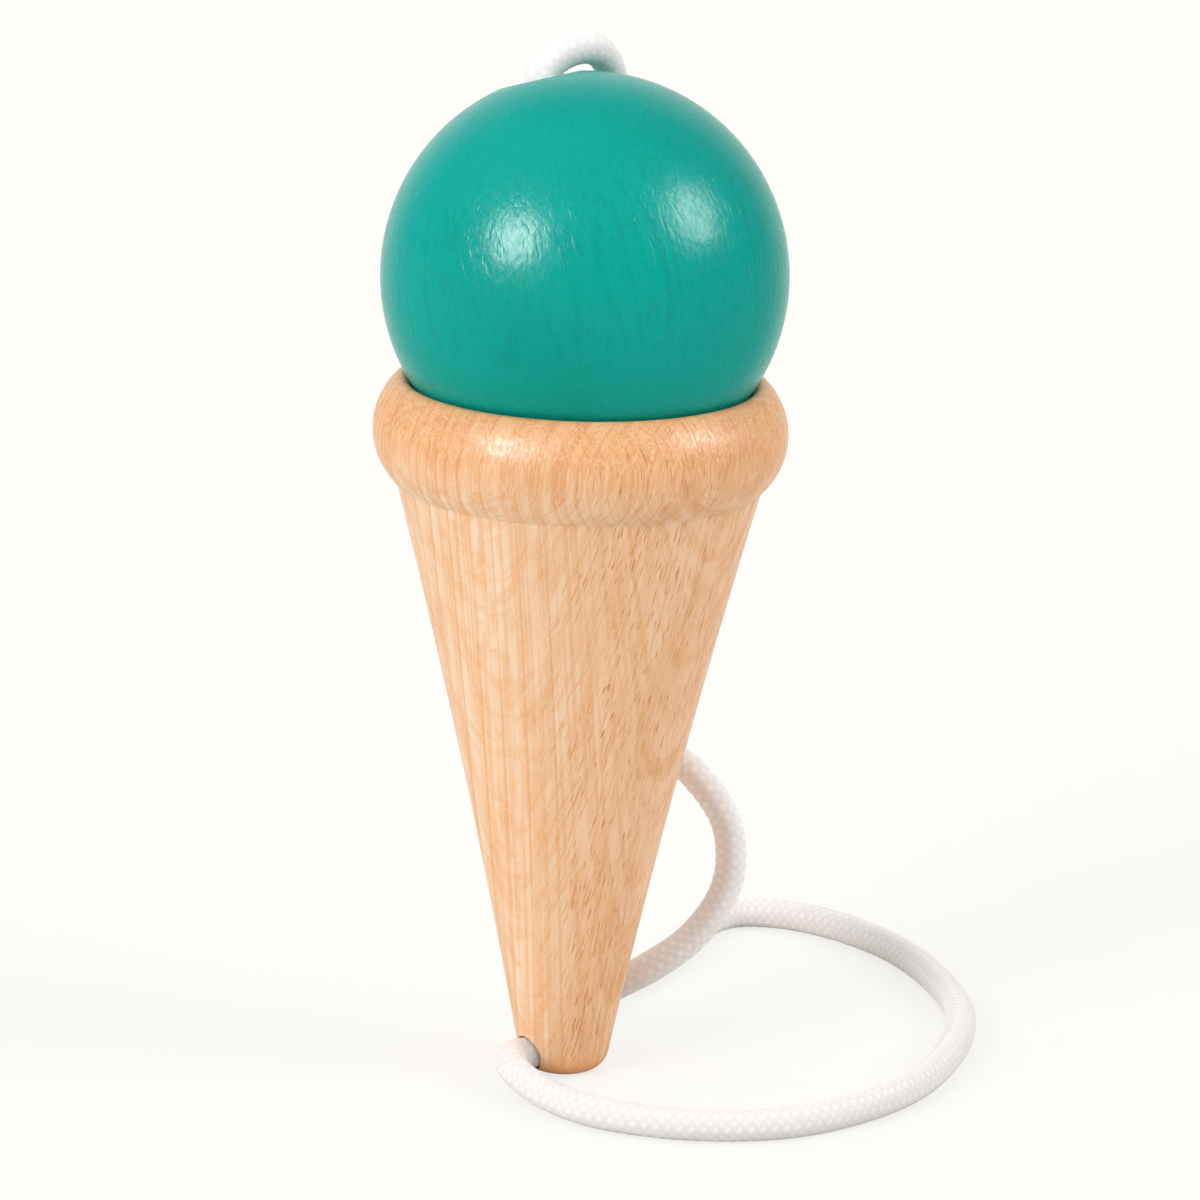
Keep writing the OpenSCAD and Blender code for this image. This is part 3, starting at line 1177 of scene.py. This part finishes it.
@dataclass
class Cord:
    """The braided cord, from the foot hole over the floor and up behind the cone to the bore of the ball."""

    cone: CupCone
    ball: Ball
    braid: Braid
    diameter: float = 0.0047
    floor_gap: float = 0.00005
    bore_stops: Span = (0.025, 0.02)
    knot_d: float = 0.0115
    knot_len: float = 0.0095
    knot_play: float = 0.00025
    wrap_r: float = 0.0016
    wraps: float = 1.9
    tuck_share: float = 0.16
    tuck_reach: float = 0.35
    bend_low: float = 0.012
    bend_high: float = 0.105
    route_steps: int = 40
    knot_points: int = 400

    @property
    def knot_top(self) -> float:
        """Height of the knot's upper face along the bore, from the ball's middle."""
        return self.ball.recess_depth - self.ball.diameter / 2 - self.knot_play

    @property
    def exit(self) -> np.ndarray:
        """Point where the cord leaves the foot hole."""
        mouth = self.cone.wall_radius(self.cone.hole_h)
        return np.array([0.0, 0.0, self.cone.hole_h]) + self.cone.hole_axis * mouth

    def route(self) -> np.ndarray:
        """Points of the route, listed one by one.

        Returns:
            The points from the end in the foot hole to the tail under the knot.
        """
        lying = self.diameter / 2 + self.floor_gap
        glued = np.array([0.0, 0.0, self.cone.hole_h]) - self.cone.hole_axis * self.cone.hole_past
        floor = [
            (-0.0075, -0.0065, 0.0037),
            (-0.0079, -0.0099, 0.0038),
            (-0.0065, -0.0143, 0.0033),
            (-0.0027, -0.02, 0.0026),
            (0.0053, -0.0278, lying),
            (0.019, -0.032, lying),
            (0.0332, -0.03, lying),
            (0.0463, -0.0202, lying),
            (0.0552, -0.006, lying),
            (0.061, 0.0215, lying),
            (0.054, 0.0507, lying),
            (0.044, 0.065, lying),
            (0.034, 0.0713, lying),
            (0.0272, 0.0712, lying),
            (0.0224, 0.066, lying),
            (0.0187, 0.054, lying),
            (0.0128, 0.0408, lying),
            (0.0043, 0.0274, 0.0026),
        ]
        rise = [
            (0.0026, 0.0215, 0.0038),
            (0.0052, 0.0154, 0.0068),
            (0.0116, 0.0127, 0.0112),
            (0.0194, 0.0134, 0.017),
            (0.0242, 0.015, 0.0248),
            (0.0239, 0.0164, 0.0338),
            (0.0188, 0.0186, 0.0409),
            (0.0112, 0.0232, 0.0456),
            (0.0046, 0.0308, 0.057),
            (0.005, 0.0352, 0.103),
        ]
        over_ball = [
            (0.005, 0.0346, -0.001),
            (0.0042, 0.0278, 0.019),
            (0.002, 0.0176, 0.0292),
            (-0.0002, 0.014, 0.0312),
            (-0.0029, 0.0113, 0.0313),
            (-0.0054, 0.0089, 0.0302),
            (-0.0072, 0.0065, 0.0281),
        ]
        stops = [*self.bore_stops, self.knot_top, self.knot_top - self.knot_len]
        middle = np.array(self.ball.middle)
        bore = [middle + np.array(self.ball.axis) * stop for stop in stops]
        return np.array([glued, self.exit, *floor, *rise, *(middle + np.array(over_ball)), *bore])

    def build(self) -> tuple[bpy.types.Object, np.ndarray]:
        """Sweeps the braid along the smooth route.

        Returns:
            The cord as an object, and the line that it follows.
        """
        line = even_line(smooth_line(self.route(), self.route_steps), self.braid.spacing)
        return self.braid.tube("braided_cord", line, self.diameter / 2), line

    def build_knot(self) -> bpy.types.Object:
        """Winds the stopper knot: a helix of wraps round the cord, whose two ends tuck in under the wraps.

        Returns:
            The knot's wraps as an object.
        """
        turn = np.linspace(0.0, 2 * math.pi * self.wraps, self.knot_points)
        share = turn / turn[-1]
        tuck = np.clip(np.minimum(share, 1 - share) / self.tuck_share, 0.0, 1.0)
        tuck = tuck * tuck * (3 - 2 * tuck)
        reach = (self.knot_d / 2 - self.wrap_r) * (self.tuck_reach + (1 - self.tuck_reach) * tuck)
        drop = self.knot_top - self.wrap_r - (self.knot_len - 2 * self.wrap_r) * share
        axis = self.ball.axis
        helix = reach[:, None] * spokes(axis, turn) + drop[:, None] * np.array(axis)
        line = even_line(np.array(self.ball.middle) + helix, self.braid.spacing)
        return self.braid.tube("stopper_knot", line, self.wrap_r)

    def dress(self, cord: bpy.types.Object, line: np.ndarray, knot: bpy.types.Object) -> None:
        """Gives cord and knot their yarn and sets them in place of their solids.

        Args:
            cord: The cord.
            line: The line that it follows, which is not used.
            knot: The knot's wraps.
        """
        yarn = BraidFinish(self.braid).material()
        cord.data.materials.append(yarn)
        knot.data.materials.append(yarn)
        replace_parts(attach(knot, Body.CORD_END.value), "cord_knot")
        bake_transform(cord)
        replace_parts(cord, "cord_loop", "cord_arch")
        tuple(self.exit)


@dataclass(frozen=True)
class Lamp:
    """A far round soft lamp.

    Its level is the share of its own colour that a facing surface shows under it, and its gloss is the same
    measure of the lamp's mirror image.
    """

    name: str
    towards: Point
    width: float
    level: float
    gloss: float = 0.0

    def light(self) -> None:
        """Hangs the lamp as one sun for matt surfaces and, where it has a gloss, one for mirror images."""
        parts = {"matt": self.level, "gloss": self.gloss} if self.gloss else {"matt": self.level}
        for part, level in parts.items():
            data = bpy.data.lights.new(f"{self.name}_{part}", "SUN")
            data.angle = self.width
            data.energy = math.pi * level
            lamp = bpy.data.objects.new(data.name, data)
            lamp.rotation_euler = Vector(self.towards).to_track_quat("Z", "Y").to_euler()
            lamp.visible_diffuse = part == "matt"
            lamp.visible_glossy = part == "gloss"
            bpy.context.scene.collection.objects.link(lamp)


@dataclass
class Studio:
    """Pale floor, soft lamps, white surroundings and the camera."""

    floor_half: float = 40.0
    white: Colour = (1.0, 0.991, 0.956)
    floor_matt: float = 0.76
    floor_shade: float = 0.21
    floor_glow: float = 0.7495
    side_share: float = 0.2
    dim: float = 0.15
    bright: float = 1.0
    behind: Span = (0.5, 0.95)
    eye: Vector = Vector((0.0, -1.0, 0.3418))
    pitch: float = math.radians(15.046)
    yaw: float = math.radians(0.2049)
    roll: float = math.radians(1.65)
    lens: float = 209.4
    lamps: tuple[Lamp, ...] = (
        Lamp("key", (-0.624, -0.628, 0.461), math.radians(26), 0.48, 2.5),
        Lamp("fill", (0.8215, -0.168, 0.545), math.radians(26), 0.40, 1.4),
        Lamp("overhead", (0.0, 0.0, 1.0), math.radians(120), 0.44),
        Lamp("left_wall", (-0.94, -0.12, 0.32), math.radians(80), 0.23),
    )

    def tint(self, share: float) -> Colour:
        """Share of the studio's white."""
        return tuple(share * c for c in self.white)

    def rays(self, graph: Graph) -> tuple[Value, Value]:
        """Tells the rays apart.

        Args:
            graph: Nodes that the answer is for.

        Returns:
            1 on rays that show the surroundings as such, straight, mirrored or let through, and 1 on mirrored
            rays alone.
        """
        path = graph.node("ShaderNodeLightPath", {}, {}).outputs
        kinds = ("Camera", "Glossy", "Transmission")
        straight, mirrored, through = (Value(graph, path[f"Is {kind} Ray"]) for kind in kinds)
        return straight.at_least(mirrored).at_least(through), mirrored

    def lay_floor(self) -> None:
        """Lays the floor.

        On rays that show it, it is a glow that keeps the shadows and is white beside them. On mirrored rays
        the glow is dim in front of the toy and beside it, as the world is.
        """
        half = self.floor_half
        corners = np.array([[-half, -half, 0.0], [half, -half, 0.0], [half, half, 0.0], [-half, half, 0.0]])
        floor = new_piece("studio_floor", corners, [[0, 1, 2, 3]])
        material, graph = new_material("floor_paper")
        plain, shaded = (
            graph.node("ShaderNodeBsdfDiffuse", {}, {"Color": (*self.tint(share), 1.0)}).outputs[0]
            for share in (self.floor_matt, self.floor_shade)
        )
        seen, mirrored = self.rays(graph)
        heading = graph.vector("NORMALIZE", graph.place()).outputs["Vector"]
        _, backwards, _ = graph.axes(heading)
        beside = mirrored * (1 - backwards.rise(*self.behind))
        glow_tint = graph.mix(beside, self.white, self.tint(self.side_share))
        sockets = {"Color": glow_tint, "Strength": self.floor_glow}
        glow = graph.node("ShaderNodeEmission", {}, sockets).outputs[0]
        shown = graph.node("ShaderNodeAddShader", {}, {0: shaded, 1: glow}).outputs[0]
        sockets = {0: seen, 1: plain, 2: shown}
        surface = graph.node("ShaderNodeMixShader", {}, sockets).outputs[0]
        graph.node("ShaderNodeOutputMaterial", {}, {"Surface": surface})
        floor.data.materials.append(material)

    def surround(self) -> None:
        """Makes the world: soft light that is dim in front of the toy and bright behind it."""
        world = bpy.data.worlds.new("studio")
        world.use_nodes = True
        graph = Graph(world.node_tree)
        heading = graph.node("ShaderNodeTexCoord", {}, {}).outputs["Generated"]
        _, backwards, _ = graph.axes(heading)
        front, back = self.tint(self.dim), self.tint(self.bright)
        sockets = {"Color": graph.mix(backwards.rise(*self.behind), front, back)}
        light = graph.node("ShaderNodeBackground", {}, sockets).outputs[0]
        graph.node("ShaderNodeOutputWorld", {}, {"Surface": light})
        bpy.context.scene.world = world

    def aim(self) -> None:
        """Sets the camera up: yaw and pitch give the heading, and the roll turns it about the heading."""
        level = math.cos(self.pitch)
        ahead = Vector((math.sin(self.yaw) * level, math.cos(self.yaw) * level, -math.sin(self.pitch)))
        right = ahead.cross(Vector((0.0, 0.0, 1.0))).normalized()
        up = right.cross(ahead)
        rolled_right = math.cos(self.roll) * right + math.sin(self.roll) * up
        rolled_up = math.cos(self.roll) * up - math.sin(self.roll) * right
        data = bpy.data.cameras.new("studio_camera")
        data.lens = self.lens
        camera = bpy.data.objects.new("studio_camera", data)
        turn = Matrix((rolled_right, rolled_up, -ahead)).transposed().to_4x4()
        camera.matrix_world = Matrix.Translation(self.eye) @ turn
        bpy.context.scene.collection.objects.link(camera)
        bpy.context.scene.camera = camera

    def build(self) -> None:
        """Sets up the whole studio."""
        self.lay_floor()
        self.surround()
        for lamp in self.lamps:
            lamp.light()
        self.aim()
        bpy.context.scene.view_settings.view_transform = "Standard"


def main() -> None:
    """Builds the toy and its studio, piece by piece."""
    logging.basicConfig(level=logging.INFO, format="%(name)s: %(message)s")
    studio = Studio()
    studio.build()
    log.info("studio is set up")

    cone = CupCone()
    ball = Ball(cone)
    cord = Cord(cone, ball, Braid())

    cord_piece, line = cord.build()
    knot_piece = cord.build_knot()
    cord.dress(cord_piece, line, knot_piece)
    log.info("cord: %d faces", len(cord_piece.data.polygons))
    log.info("knot: %d faces", len(knot_piece.data.polygons))

    beech = BeechFinish().material()
    cone_piece = cone.build()
    cone.dress(cone_piece, beech)
    log.info("cone: %d faces", len(cone_piece.data.polygons))

    paint = PaintFinish(tuple(ball.middle), ball.turn).material()
    ball_piece = ball.build()
    ball.dress(ball_piece, paint, beech)
    log.info("ball: %d faces", len(ball_piece.data.polygons))


if __name__ == "__main__":
    main()
